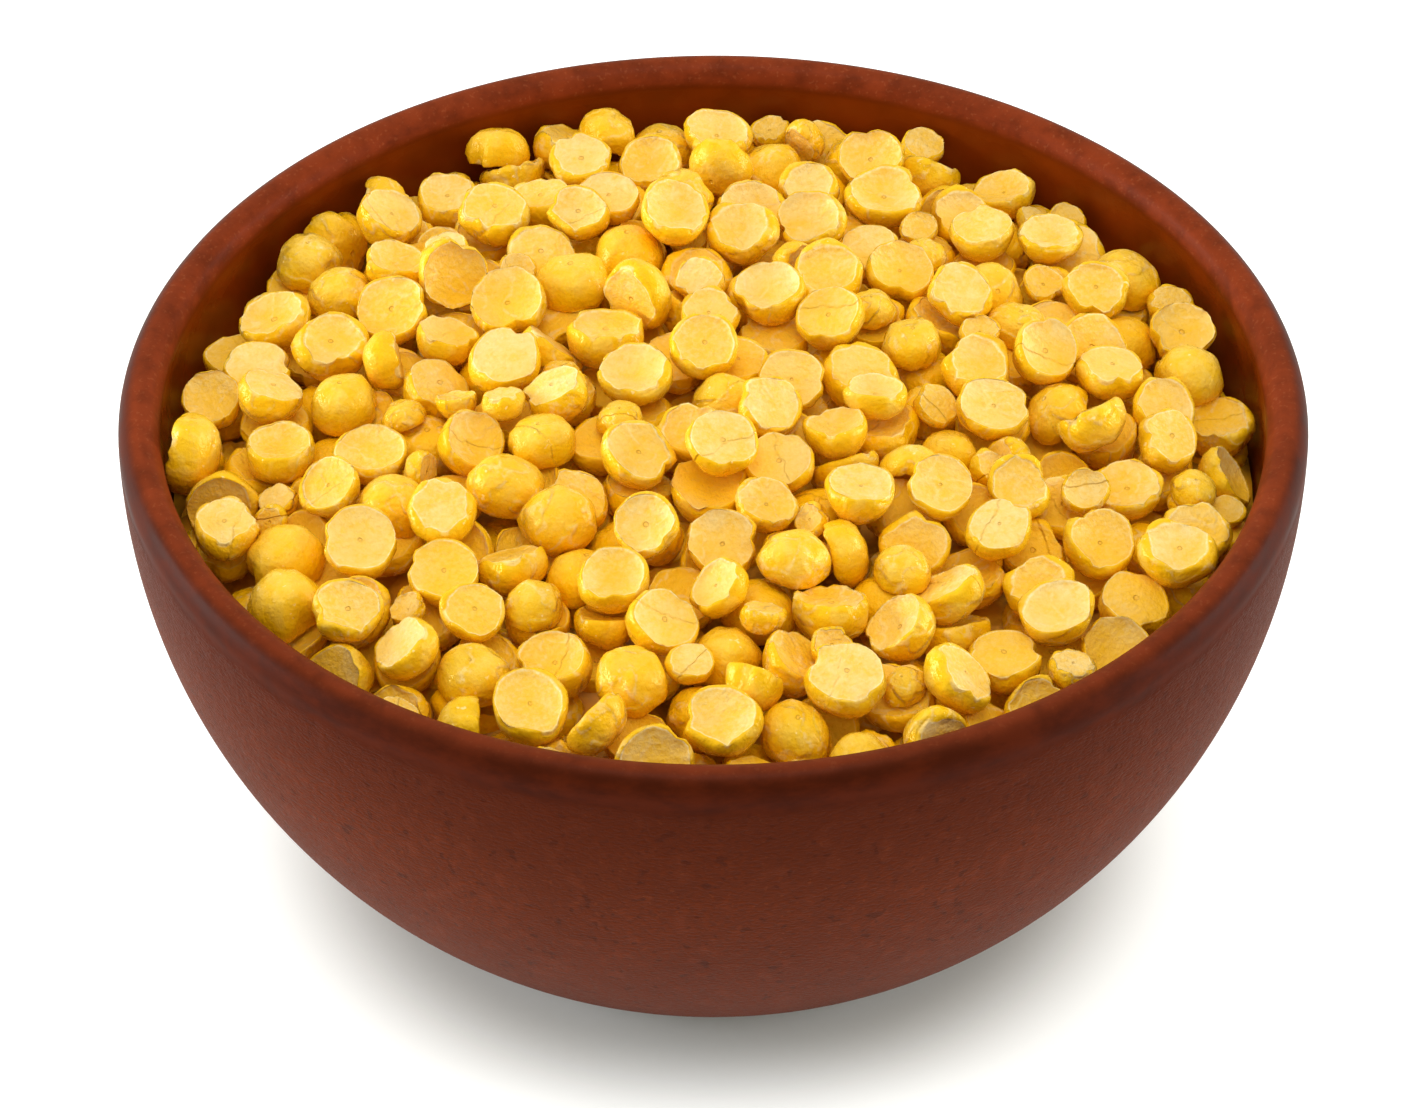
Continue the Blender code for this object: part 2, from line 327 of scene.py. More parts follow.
def grain_frames(heap, inner_r, x, y, kind, tilt, azimuth, spin):
    """Axes of each half as columns: long axis, short axis, normal of the flat face."""
    slope = 2 * (exact(heap.mound_top) - exact(heap.mound_edge)) / inner_r ** 2
    lean = round(heap.lean, 4) if kind < 2 else 0.0
    up = np.stack([x * slope, y * slope - lean, np.ones(len(x))], 1)
    up /= np.linalg.norm(up, axis=1)[:, None]
    side = np.cross(up, [0, 1, 0])
    side /= np.linalg.norm(side, axis=1)[:, None]
    other = np.cross(up, side)
    turned = np.cos(azimuth)[:, None] * side + np.sin(azimuth)[:, None] * other
    normal = np.cos(tilt)[:, None] * up + np.sin(tilt)[:, None] * turned
    long_axis = np.cross(normal, np.stack([np.cos(spin), np.sin(spin), 0.3 * np.ones(len(x))], 1))
    long_axis /= np.linalg.norm(long_axis, axis=1)[:, None]
    return np.stack([long_axis, np.cross(normal, long_axis), normal], 2)


def grain_span(frames, radii, cut, fx, fy):
    """Lower and upper surface of each turned half over a small grid round its centre."""
    face = frames[:, :, 2]
    u = frames[:, 2, :] / radii
    v = fx[None, :, :, None] * frames[:, None, None, 0, :]
    v = (v + fy[None, :, :, None] * frames[:, None, None, 1, :]) / radii
    a = (u * u).sum(1)[:, None, None]
    b = (v * u[:, None, None, :]).sum(-1)
    c = (v * v).sum(-1) - 1
    spread = b * b - a * c
    inside = spread > 0
    root = np.sqrt(np.where(inside, spread, 0))
    low = (-b - root) / a
    high = (-b + root) / a
    nz = np.where(abs(face[:, 2]) < 1e-3, 1e-3, face[:, 2])
    flat = (cut - face[:, 0, None, None] * fx - face[:, 1, None, None] * fy) / nz[:, None, None]
    upward = (nz > 0)[:, None, None]
    high = np.where(upward, np.minimum(high, flat), high)
    low = np.where(upward, low, np.maximum(low, flat))
    return low, high, inside & (low < high), nz


def settle_grains(bowl, heap):
    """Drop the halves one by one where each comes to rest lowest.

    Returns them, their seen areas and the mean surface that they form.
    """
    inner_r = exact(bowl.shoulder_radius) - exact(bowl.lip_width)
    shoulder_z = exact(bowl.shoulder_height)
    depth = shoulder_z - exact(bowl.floor_height)
    power = round(bowl.hollow_power, 3)
    top, edge = exact(heap.mound_top), exact(heap.mound_edge)

    def mound_height(x, y):
        return top - (top - edge) * (x * x + y * y) / inner_r ** 2

    rng = np.random.default_rng(heap.seed)
    half = int(math.ceil(MAP_REACH / MAP_CELL))
    size = 2 * int(inner_r / MAP_CELL) + 2 * half + 3
    middle = (size - 1) / 2
    line = (np.arange(size) - middle) * MAP_CELL
    gx, gy = np.meshgrid(line, line, indexing="ij")
    reach = np.minimum(np.hypot(gx, gy) / (inner_r - WALL_ROOM), 1)
    wall = shoulder_z - depth * (1 - reach ** power) ** (1 / power)
    wall = np.where(reach < 1, wall, exact(bowl.crest_height) + OFF_BOWL)
    bed = np.maximum(mound_height(gx, gy) - exact(heap.bed_depth), wall)
    owner = -np.ones(bed.shape, int)
    steps = np.arange(-half, half + 1)
    fx, fy = np.meshgrid(steps * MAP_CELL, steps * MAP_CELL, indexing="ij")
    px, py = [part.ravel() for part in np.meshgrid(steps[::2], steps[::2], indexing="ij")]
    apart = np.hypot(px, py) * MAP_CELL
    kinds = rng.choice(3, heap.count, p=FACING_SHARES)
    shapes = rng.integers(SHAPE_COUNT, size=heap.count)
    limit = inner_r * 0.97 / MAP_CELL
    grains = []
    for number in range(heap.count):
        kind = kinds[number]
        scale = np.clip(rng.normal(1, 0.06), 0.85, 1.14)
        if number >= heap.count - heap.crumbs:
            scale = rng.uniform(0.5, 0.7)
        elif rng.random() < 0.07:
            scale = rng.uniform(0.6, 0.8)
        half_w = exact(heap.width) / 2 * scale
        radii = half_w * np.array([1, rng.uniform(0.88, 1.0), rng.uniform(0.86, 1.02)])
        cut = radii[2] * face_level(shapes[number])
        under = apart < 0.84 * half_w
        ball = 0.72 * half_w * np.sqrt(1 - (apart[under] / (0.84 * half_w)) ** 2)
        best = None
        for stage in range(3):
            if stage == 0:
                r = limit * np.sqrt(rng.random(PLACES))
                t = rng.uniform(0, 2 * math.pi, PLACES)
                i = np.rint(r * np.cos(t) + middle).astype(int)
                j = np.rint(r * np.sin(t) + middle).astype(int)
                near = bed[i[:, None] + px[None, under], j[:, None] + py[None, under]]
                rest = (near + ball[None, :]).max(1) - mound_height(line[i], line[j])
                lowest = np.argsort(rest)[:KEPT_PLACES]
                i = np.repeat(i[lowest], TURNS)
                j = np.repeat(j[lowest], TURNS)
                tries = len(i)
                tilts = (abs(rng.normal(0, 22, tries)), rng.uniform(45, 100, tries),
                         180 - abs(rng.normal(0, 28, tries)))
                tilt = np.radians(tilts[kind])
                azimuth, spin = rng.uniform(0, 2 * math.pi, (2, tries))
            else:
                shift, turn = LATER_STAGES[stage - 1]
                i = best[0] + rng.integers(-shift, shift + 1, LATER_TRIES)
                j = best[1] + rng.integers(-shift, shift + 1, LATER_TRIES)
                tilt = best[2] + rng.normal(0, turn * 0.7, LATER_TRIES)
                azimuth = best[3] + rng.normal(0, turn, LATER_TRIES)
                spin = best[4] + rng.normal(0, turn, LATER_TRIES)
                held = np.hypot(i - middle, j - middle) < limit
                i, j, tilt, azimuth, spin = [part[held] for part in (i, j, tilt, azimuth, spin)]
                if not len(i):
                    continue
            frames = grain_frames(heap, inner_r, line[i], line[j], kind, tilt, azimuth, spin)
            low, high, inside, nz = grain_span(frames, radii, cut, fx, fy)
            window = bed[i[:, None, None] + steps[:, None], j[:, None, None] + steps]
            z = np.where(inside, window - low, -np.inf).max((1, 2))
            score = z - 0.27 * radii[2] * nz - mound_height(line[i], line[j])
            q = int(np.argmin(score))
            if best is None or score[q] < best[5]:
                over = np.where(inside[q], z[q] + high[q], -np.inf)
                best = (i[q], j[q], tilt[q], azimuth[q], spin[q], score[q], z[q], frames[q], over)
        i, j, over = best[0], best[1], best[8]
        span = (slice(i - half, i + half + 1), slice(j - half, j + half + 1))
        level, seen = bed[span], owner[span]
        higher = over > level
        level[higher] = over[higher]
        seen[higher] = number
        grains.append({"centre": np.array([line[i], line[j], best[6]]), "frame": best[7],
                       "radii": radii, "kind": int(kind), "shape": int(shapes[number]),
                       "score": best[5]})
    areas = np.bincount(owner[owner >= 0], minlength=heap.count) * MAP_CELL * MAP_CELL
    held = (owner >= 0).astype(float)
    total, count = np.zeros(bed.shape), np.zeros(bed.shape)
    for i in range(-MEAN_CELLS, MEAN_CELLS + 1):
        for j in range(-MEAN_CELLS, MEAN_CELLS + 1):
            total += np.roll(bed * held, (i, j), (0, 1))
            count += np.roll(held, (i, j), (0, 1))
    surface = np.where(count > 0, total / np.maximum(count, 1), edge)

    def mean_surface(x, y):
        """Mean height of the settled halves round a point."""
        cells = np.rint(np.stack([x, y]) / MAP_CELL + middle).astype(int)
        return surface[tuple(np.clip(cells, 0, size - 1))]

    return grains, areas, mean_surface


# One half of a split chickpea

SHAPE_COUNT = 14
LOBED_SHAPES = (4, 11)
SEGMENTS = 32
FACE_LIFT = 0.07  # the flat face stands this much above the solids' one
OUTLINE_WAVES = ((2, 0.034), (3, 0.027), (4, 0.018), (5, 0.010), (7, 0.006), (9, 0.004))
INSET_WAVES = ((1, 0.028), (2, 0.020), (3, 0.014), (5, 0.012), (8, 0.011), (11, 0.008))
BREAK_WAVES = ((3, 0.010), (5, 0.010), (7, 0.010), (9, 0.010))
NOTCH_DEPTHS = [0.02, 0.06, 0.11, 0.18]
SUNK_DEPTHS = [0.02, 0.05, 0.09, 0.14]
DISH_DEPTHS = [-0.04, 0.03, 0.08, 0.14, 0.22]
FOLD_SHARE, FOLD_DEPTH = 0.65, 0.060
DENTS, DENT_DEPTH = 7, 0.65


def face_level(shape):
    """Height of the flat face above the belly, as a share of the thickness radius."""
    return 0.12 + 0.18 * ((shape * 0.618) % 1)


def bump_at(angles, where, width, power=2):
    """A hump round the outline, one at its middle and nothing away from it."""
    apart = np.abs((angles - where + math.pi) % (2 * math.pi) - math.pi)
    return np.exp(-(apart / width) ** power)


def add_waves(line, rng, angles, waves, strength=1.0):
    """Add drawn waves round the outline, each of its order and usual height."""
    for order, amount in waves:
        height = strength * rng.normal(0, amount)
        line += height * np.cos(order * angles + rng.uniform(0, 2 * math.pi))


def half_mesh(shape):
    """A split chickpea of unit radius: pale face in a rounded rim, chipped edge, plump side."""
    rng = np.random.default_rng(100 + shape)
    level = face_level(shape) + FACE_LIFT
    angles = np.arange(SEGMENTS) * 2 * math.pi / SEGMENTS
    face_r = math.sqrt(1 - level * level)

    # Outline: slightly oval or lobed, with the notch and beak where the two halves met
    outline = np.ones(SEGMENTS)
    add_waves(outline, rng, angles, OUTLINE_WAVES, 2.2 if shape in LOBED_SHAPES else 1.0)
    notch = rng.uniform(0, 2 * math.pi)
    deep = rng.choice(NOTCH_DEPTHS)
    outline -= deep * bump_at(angles, notch, rng.uniform(0.14, 0.26))
    outline += 0.45 * deep * bump_at(angles, notch + rng.choice([-1, 1]) * 0.42, 0.22)
    outline = np.minimum(outline, 1.07)

    # Edge of the pale face inside the rim, broken through where the rim is chipped
    inset = rng.uniform(0.74, 0.92) * np.ones(SEGMENTS)
    add_waves(inset, rng, angles, INSET_WAVES)
    inset = np.clip(inset, 0.68, 0.95)
    chips = np.zeros(SEGMENTS)
    for chip in range(rng.integers(3, 9)):
        mark = bump_at(angles, rng.uniform(0, 2 * math.pi), rng.uniform(0.09, 0.30), 4)
        chips = np.maximum(chips, mark * rng.uniform(0.45, 1.0))
    edge = inset + (0.975 - inset) * chips * 0.9
    sunk = rng.choice(SUNK_DEPTHS)
    dish = rng.choice(DISH_DEPTHS)
    wave = np.zeros(SEGMENTS)
    add_waves(wave, rng, angles, BREAK_WAVES)

    # Rings from the middle of the face over the rim and down the side. Each has its radius,
    # its height and its shares of pale flesh, rubbed edge and chip
    none, full = np.zeros(SEGMENTS), np.ones(SEGMENTS)
    rings = []
    for share in (0.12, 0.36, 0.60, 0.80, 0.93):
        fall = sunk * (0.8 if share > 0.9 else 1.0) + dish * (1 - share ** 2)
        rings.append((edge * share, level - fall, full, none, none))
    broken = 0.14 * chips - wave
    rings.append((edge, level - 0.3 * sunk - 0.5 * broken, full * 0.9, full, chips))
    rings.append((edge + 0.35 * (1 - edge), level + 0.014 - broken, none, full * 0.30, chips))
    rings.append((edge + 0.78 * (1 - edge) - 0.05 * chips, level - 0.026 - 1.15 * broken,
                  none, none, chips * 0.9))
    rings.append((full + 0.012 - 0.04 * chips, level - 0.105 - broken, none, none, chips * 0.35))
    bulge = 1 / face_r
    flat = rng.uniform(0.02, 0.16)
    for degrees in (0, 16, 33, 50, 69):
        turn = math.radians(degrees)
        belly = -math.sin(turn) * (1 - flat * math.sin(turn) ** 4)
        rings.append((full * bulge * math.cos(turn) ** 0.88, belly, none, none, none))
    rows = len(rings)
    radius = np.array([ring[0] * face_r for ring in rings])
    height = np.array([ring[1] * full for ring in rings])
    values = np.stack([np.array([ring[part] for ring in rings]) for part in (2, 3, 4)], -1)

    reach = np.clip(radius / face_r, 0, 1) ** 2
    low = smooth_step(0.15, 0.98, -height)
    radius *= 1 + (outline - 1)[None, :] * reach * (1 - 0.9 * low)
    lean = rng.uniform(0, 2 * math.pi)
    tip = rng.uniform(0.0, 0.06) * smooth_step(level - 0.6, level, height)
    height += tip * radius * np.cos(angles - lean)[None, :]

    points = np.stack([radius * np.cos(angles), radius * np.sin(angles), height], -1).reshape(-1, 3)
    values = np.concatenate([values.reshape(-1, 3), np.ones((len(points), 1))], 1)
    centre = [0, 0, float(height[0].mean()) - 0.03 * dish]
    points = np.vstack([points, [centre, [0, 0, flat - 1.0]]])
    values = np.vstack([values, [[1, 0, 0, 1], [0, 0, 0, 1]]])
    spots = points.copy()

    # Soft lumps, stronger on the round side
    lump = np.zeros(len(points))
    for order in range(6):
        way = rng.normal(0, 1, 3) * rng.uniform(1.6, 3.4)
        lump += 0.013 * np.sin(points @ way + rng.uniform(0, 2 * math.pi))
    if rng.random() < FOLD_SHARE:
        way = rng.normal(0, 1, 3) * (1, 1, 0.2)
        way /= np.linalg.norm(way)
        fold = points @ way - rng.uniform(-0.25, 0.25)
        lump -= FOLD_DEPTH * np.exp(-(fold / 0.16) ** 2) * smooth_step(0.1, 0.9, -points[:, 2])
    points *= (1 + lump * (1 - 0.6 * values[:, 0]))[:, None]
    for dent in range(DENTS):
        turn, rise = rng.uniform(0, 2 * math.pi), math.radians(rng.uniform(-85, 12))
        flat_way = math.cos(rise)
        way = np.array([math.cos(turn) * flat_way, math.sin(turn) * flat_way, math.sin(rise)])
        over = np.maximum(0, points @ way - rng.uniform(0.88, 0.95))
        points -= DENT_DEPTH * (over * (1 - values[:, 0]))[:, None] * way

    faces = []
    for step in range(SEGMENTS):
        other = (step + 1) % SEGMENTS
        faces.append((rows * SEGMENTS, step, other))
        for row in range(rows - 1):
            inner, outer = row * SEGMENTS, (row + 1) * SEGMENTS
            faces.append((outer + step, outer + other, inner + other, inner + step))
        last = (rows - 1) * SEGMENTS
        faces.append((last + other, last + step, rows * SEGMENTS + 1))
    mesh = bpy.data.meshes.new(f"half_{shape:02d}")
    mesh.from_pydata(points.tolist(), [], faces)
    mesh.shade_smooth()
    store(mesh, "parts", values, "FLOAT_COLOR")
    store(mesh, "spot", spots, "FLOAT_VECTOR")
    return mesh


NUDGE_GAP, LEAST_GAP = 0.3 * MM, 0.25 * MM  # clearance of the halves from the bowl
# Depth under the mean surface, which the finish turns into painted shade between the halves
DEEP_FROM, DEEP_TO = -1.8 * MM, 1.9 * MM  # depth under the mean surface, from high to deep
HIDDEN_DEPTH = -3.5 * MM  # below this a half that nobody sees is left out


def scatter_tree():
    """Node tree that sets a chosen shape on each point, turned and sized by the point's values."""
    tree = bpy.data.node_groups.new("set_halves", "GeometryNodeTree")
    face = tree.interface
    for name, kind in (("Points", "Geometry"), ("Shapes", "Collection"), ("Size", "Float"),
                       ("Finish", "Material")):
        face.new_socket(name, in_out="INPUT", socket_type="NodeSocket" + kind)
    face.new_socket("Halves", in_out="OUTPUT", socket_type="NodeSocketGeometry")
    nodes = tree.nodes
    start = nodes.new("NodeGroupInput")
    end = nodes.new("NodeGroupOutput")
    shapes = nodes.new("GeometryNodeCollectionInfo")
    shapes.inputs["Separate Children"].default_value = True
    shapes.inputs["Reset Children"].default_value = True
    names = {}
    for label, kind in (("turn", "FLOAT_VECTOR"), ("stretch", "FLOAT_VECTOR"), ("shape", "INT")):
        names[label] = nodes.new("GeometryNodeInputNamedAttribute")
        names[label].data_type = kind
        names[label].inputs["Name"].default_value = label
    scale = nodes.new("ShaderNodeVectorMath")
    scale.operation = "SCALE"
    place = nodes.new("GeometryNodeInstanceOnPoints")
    place.inputs["Pick Instance"].default_value = True
    real = nodes.new("GeometryNodeRealizeInstances")
    finish = nodes.new("GeometryNodeSetMaterial")
    for source, output, target, socket in (
            (start, "Points", place, "Points"),
            (start, "Shapes", shapes, "Collection"),
            (shapes, "Instances", place, "Instance"),
            (names["shape"], "Attribute", place, "Instance Index"),
            (names["turn"], "Attribute", place, "Rotation"),
            (names["stretch"], "Attribute", scale, 0),
            (start, "Size", scale, "Scale"),
            (scale, "Vector", place, "Scale"),
            (place, "Instances", real, "Geometry"),
            (real, "Geometry", finish, "Geometry"),
            (start, "Finish", finish, "Material"),
            (finish, "Geometry", end, "Halves")):
        tree.links.new(source.outputs[output], target.inputs[socket])
    return tree


def nudge_halves(grains, bowl, heap):
    """Lean the settled halves a little further to the front, and hold all clear of the wall."""
    turn = np.array(Matrix.Rotation(heap.nod, 3, "X"))
    along = np.linspace(0, 2 * math.pi, 24, endpoint=False)
    rows = [(1.0, 0.0), (0.97, 0.2), (0.8, -0.6), (0.45, -0.88)]
    ball = np.array([(r * math.cos(t), r * math.sin(t), h) for r, h in rows for t in along])
    for grain in grains:
        if grain["kind"] == 0:
            grain["frame"] = turn @ grain["frame"]
        for step in range(3):
            skin = ball * grain["radii"] @ grain["frame"].T + grain["centre"]
            room = hollow_radius(bowl, skin[:, 2], NUDGE_GAP)
            over = (np.hypot(skin[:, 0], skin[:, 1]) - room).max()
            if over <= 0:
                break
            rho = max(1e-6, math.hypot(grain["centre"][0], grain["centre"][1]))
            grain["centre"][:2] *= 1 - 0.9 * over / rho


def set_halves(name, grains, tree, shapes, finish, bowl, mean_surface):
    """One piece of like halves, as a plain mesh held clear of the bowl."""
    rng = np.random.default_rng(len(grains))
    mesh = bpy.data.meshes.new(name + "_points")
    mesh.from_pydata([grain["centre"].tolist() for grain in grains], [], [])
    turns = [list(Matrix(grain["frame"].tolist()).to_euler()) for grain in grains]
    store(mesh, "turn", turns, "FLOAT_VECTOR")
    store(mesh, "stretch", [grain["radii"].tolist() for grain in grains], "FLOAT_VECTOR")
    store(mesh, "shape", [grain["shape"] for grain in grains], "INT")
    store(mesh, "tint", rng.uniform(0, 1, len(grains)), "FLOAT")
    points = new_object(name + "_points", mesh)
    nodes = points.modifiers.new("halves", "NODES")
    nodes.node_group = tree
    sockets = {item.name: item.identifier for item in tree.interface.items_tree}
    nodes[sockets["Shapes"]] = shapes
    nodes[sockets["Size"]] = 1.0
    nodes[sockets["Finish"]] = finish
    piece = evaluated_copy(points, name)
    if not len(piece.data.polygons):
        raise RuntimeError(name + " came out empty")
    place = mesh_points(piece.data)
    rho = np.hypot(place[:, 0], place[:, 1])
    allowed = hollow_radius(bowl, place[:, 2], LEAST_GAP)
    place[:, :2] *= np.minimum(1, allowed / np.maximum(rho, 1e-9))[:, None]
    put_points(piece.data, place)
    # Depth under the mean surface, kept for painted shade low in the heap
    below = mean_surface(place[:, 0], place[:, 1]) - place[:, 2]
    store(piece.data, "deep", smooth_step(DEEP_FROM, DEEP_TO, below))
    for label in ("turn", "stretch", "shape"):
        layer = piece.data.attributes.get(label)
        if layer:
            piece.data.attributes.remove(layer)
    return piece


# Finishes

class Finish:
    """A procedural material, built up node by node."""

    def __init__(self, name):
        self.material = bpy.data.materials.new(name)
        self.material.use_nodes = True
        self.tree = self.material.node_tree
        self.shader = self.tree.nodes["Principled BSDF"]
        self.place = self.tree.nodes.new("ShaderNodeTexCoord").outputs["Object"]

    def link(self, source, target):
        self.tree.links.new(source, target)

    def node(self, kind, **values):
        made = self.tree.nodes.new(kind)
        for name, value in values.items():
            setattr(made, name, value)
        return made

    def attribute(self, name, output="Fac"):
        made = self.node("ShaderNodeAttribute", attribute_name=name)
        return made.outputs[output]

    def channels(self, colour):
        made = self.node("ShaderNodeSeparateColor")
        self.link(colour, made.inputs[0])
        return made.outputs

    def axes(self, vector):
        made = self.node("ShaderNodeSeparateXYZ")
        self.link(vector, made.inputs[0])
        return made.outputs

    def shifted(self, offset):
        """The piece's own place, moved so that two patterns of one kind differ."""
        made = self.node("ShaderNodeVectorMath", operation="ADD")
        self.link(self.place, made.inputs[0])
        made.inputs[1].default_value = (offset, 0.37 * offset, -0.61 * offset)
        return made.outputs[0]

    def noise(self, scale, detail=3.0, rough=0.5, vector=None, offset=0.0, warp=0.0):
        made = self.node("ShaderNodeTexNoise")
        place = self.shifted(offset) if offset else vector or self.place
        self.link(place, made.inputs["Vector"])
        self.put(made, (("Scale", scale), ("Detail", detail), ("Roughness", rough),
                        ("Distortion", warp)))
        return made.outputs["Fac"]

    def spots(self, scale):
        made = self.node("ShaderNodeTexVoronoi")
        self.link(self.place, made.inputs["Vector"])
        made.inputs["Scale"].default_value = scale
        return made.outputs["Distance"]

    def put(self, node, values):
        """Set or link each numbered socket of a node."""
        for slot, value in values:
            if isinstance(value, (tuple, list)):
                node.inputs[slot].default_value = (*value[:3], 1)
            elif isinstance(value, (int, float)):
                node.inputs[slot].default_value = value
            else:
                self.link(value, node.inputs[slot])

    def math(self, operation, first, second=0.0):
        made = self.node("ShaderNodeMath", operation=operation)
        self.put(made, ((0, first), (1, second)))
        return made.outputs[0]

    def times(self, first, second):
        return self.math("MULTIPLY", first, second)

    def plus(self, first, second):
        return self.math("ADD", first, second)

    def minus(self, first, second):
        return self.math("SUBTRACT", first, second)

    def distance(self, x, y):
        """Distance from the middle."""
        return self.math("SQRT", self.plus(self.times(x, x), self.times(y, y)))

    def ramp(self, value, low, high, start=0.0, end=1.0):
        """Smooth change from start to end as the value goes from low to high."""
        made = self.node("ShaderNodeMapRange", interpolation_type="SMOOTHSTEP")
        self.link(value, made.inputs["Value"])
        self.put(made, (("From Min", low), ("From Max", high), ("To Min", start), ("To Max", end)))
        return made.outputs["Result"]

    def mix(self, share, first, second):
        made = self.node("ShaderNodeMix", data_type="RGBA")
        self.put(made, ((0, share), (6, first), (7, second)))
        return made.outputs[2]

    def relief(self, height, depth):
        made = self.node("ShaderNodeBump")
        self.put(made, (("Strength", 1.0), ("Distance", depth), ("Height", height)))
        return made.outputs[0]

    def set(self, name, value):
        if isinstance(value, (int, float, tuple, list)):
            self.shader.inputs[name].default_value = value
        else:
            self.link(value, self.shader.inputs[name])


def shade(colour, factor):
    """A lighter or darker colour."""
    return tuple(min(1.0, part * factor) for part in colour)


GRIT_TONE, RUST_TONE, DUST_TONE = (0.25, 0.052, 0.020), (0.30, 0.070, 0.018), (0.36, 0.110, 0.045)
WALL_RELIEF = 0.25 * MM


def clay_finish(bowl):
    """Red-brown clay: pebbly matte wall, burnished lip, polished hollow."""
    made = Finish("clay")
    wall, lip = tuple(bowl.wall_colour), tuple(bowl.lip_colour)
    rim, hollow = tuple(bowl.crown_colour), tuple(bowl.hollow_colour)
    on_lip, inside, crown = [made.attribute(name) for name in ("lip", "inside", "crown")]
    x, y, z = made.axes(made.place)
    around = made.times(made.math("ARCTAN2", y, x), exact(bowl.shoulder_radius))
    unrolled = made.node("ShaderNodeCombineXYZ")
    made.put(unrolled, ((0, around), (1, made.times(z, 2.2))))
    ring = unrolled.outputs[0]

    # Matte wall: fine leathery grain, soft blotches, faint pits painted dark as shade, painted
    # shade towards the foot and under the lip
    pebbles = made.noise(1500, 2.5, 0.6, vector=ring, warp=0.5)
    coarse = made.noise(520, 2, 0.5, offset=2.0)
    blotch = made.noise(70, 3, 0.6, offset=5.0)
    tone = made.mix(made.ramp(pebbles, 0.32, 0.68), shade(wall, 0.78), shade(wall, 1.18))
    tone = made.mix(made.ramp(blotch, 0.35, 0.68, 0.0, 0.40), tone, shade(wall, 0.72))
    tone = made.mix(made.ramp(coarse, 0.52, 0.72, 0.0, 0.10), tone, GRIT_TONE)
    rust = made.ramp(made.noise(2000, 0, 0.5, offset=7.0), 0.76, 0.80)
    tone = made.mix(made.times(rust, 0.12), tone, RUST_TONE)
    # Painted shade in pits: dark spots with no relief of their own
    pit_shade = made.ramp(made.noise(900, 1, 0.5, offset=9.0), 0.36, 0.28)
    tone = made.mix(made.times(pit_shade, 0.5), tone, shade(wall, 0.30))
    # Painted shade: darker towards the foot, near the floor
    tone = made.mix(made.ramp(z, 20 * MM, 0.0, 0.0, 0.38), tone, shade(wall, 0.5))
    # Painted shade under the lip: the wall blends towards the dark lip colour as it rises to the
    # shoulder
    under = made.ramp(z, 36 * MM, 52.5 * MM)
    tone = made.mix(made.times(under, 0.62), tone, shade(lip, 0.95))

    # Burnished lip: streaks along the rim, a worn lighter crown, and painted shade that darkens the
    # crown to the front
    streaks = made.noise(170, 4, 0.65, vector=ring)
    patches = made.noise(430, 3, 0.6, offset=3.0)
    dark = made.mix(made.ramp(streaks, 0.36, 0.68), shade(lip, 0.75), shade(lip, 1.25))
    wear_and_front_shade = made.mix(made.ramp(streaks, 0.32, 0.66), shade(rim, 0.80), shade(rim, 1.12))
    dust = made.ramp(made.noise(2300, 1, 0.5, offset=4.0), 0.60, 0.72)
    wear_and_front_shade = made.mix(made.times(dust, 0.18), wear_and_front_shade, DUST_TONE)
    # Painted shade: the crown darkens towards the front of the bowl, over y from -15 to -52 mm
    wear_and_front_shade = made.mix(made.ramp(y, -15 * MM, -52 * MM, 0.0, 0.55), wear_and_front_shade, shade(rim, 0.52))
    share = made.times(crown, made.ramp(patches, 0.25, 0.60, 0.62, 1.0))
    lip_tone = made.mix(share, dark, wear_and_front_shade)

    # Polished hollow with soft smears
    smears = made.noise(95, 3, 0.55, offset=6.0)
    hollow_tone = made.mix(made.ramp(smears, 0.32, 0.7), shade(hollow, 0.80), shade(hollow, 1.22))

    wander = made.times(made.minus(made.noise(160, 3, 0.6), 0.5), 0.7)
    lip_mask = made.ramp(made.plus(on_lip, wander), 0.05, 0.95)
    made.set("Base Color", made.mix(inside, made.mix(lip_mask, tone, lip_tone), hollow_tone))

    def blend(share, first, second):
        """A number between the first and the second."""
        kept = made.times(first, made.minus(1.0, share))
        return made.plus(kept, made.times(second, share))

    rough_wall = made.ramp(pebbles, 0.3, 0.7, 0.48, 0.60)
    rough = blend(lip_mask, rough_wall, made.ramp(streaks, 0.3, 0.7, 0.44, 0.54))
    made.set("Roughness", blend(inside, rough, made.ramp(smears, 0.3, 0.7, 0.16, 0.28)))
    made.set("Specular IOR Level", 0.038)
    smooth = made.math("MAXIMUM", lip_mask, inside)
    upper = made.ramp(z, 53.8 * MM, 54.8 * MM, 0.0, 0.04)
    lower = made.times(inside, made.ramp(z, 49.5 * MM, 52.5 * MM, 0.55, 0.05))
    gloss = made.plus(made.times(lip_mask, upper), lower)
    made.set("Coat Weight", made.times(gloss, made.ramp(streaks, 0.3, 0.6, 0.7, 1.15)))
    made.set("Coat Roughness", 0.22)
    made.set("Coat IOR", 1.42)
    made.set("Coat Tint", (1.0, 0.88, 0.80, 1.0))
    height = made.plus(made.times(pebbles, 0.8), made.times(coarse, 0.5))
    height = made.times(height, made.ramp(smooth, 0.0, 1.0, 1.0, 0.06))
    sides = made.ramp(made.math("ABSOLUTE", x), 18 * MM, 50 * MM, 0.55, 1.25)
    made.set("Normal", made.relief(made.times(height, sides), WALL_RELIEF))
    return made.material


# Tones of the split chickpeas besides the three in the settings
# The deep face and deep skin tones are painted shade: the saturated gold of halves lying low in
# shade between others
GOLDEN_FACE, SHADE_GOLD_FACE = (0.86, 0.51, 0.045), (0.92, 0.51, 0.004)
GOLDEN_SKIN, SHADE_GOLD_SKIN, RIPE_SKIN = (0.85, 0.515, 0.008), (0.94, 0.50, 0.001), (0.86, 0.42, 0.003)
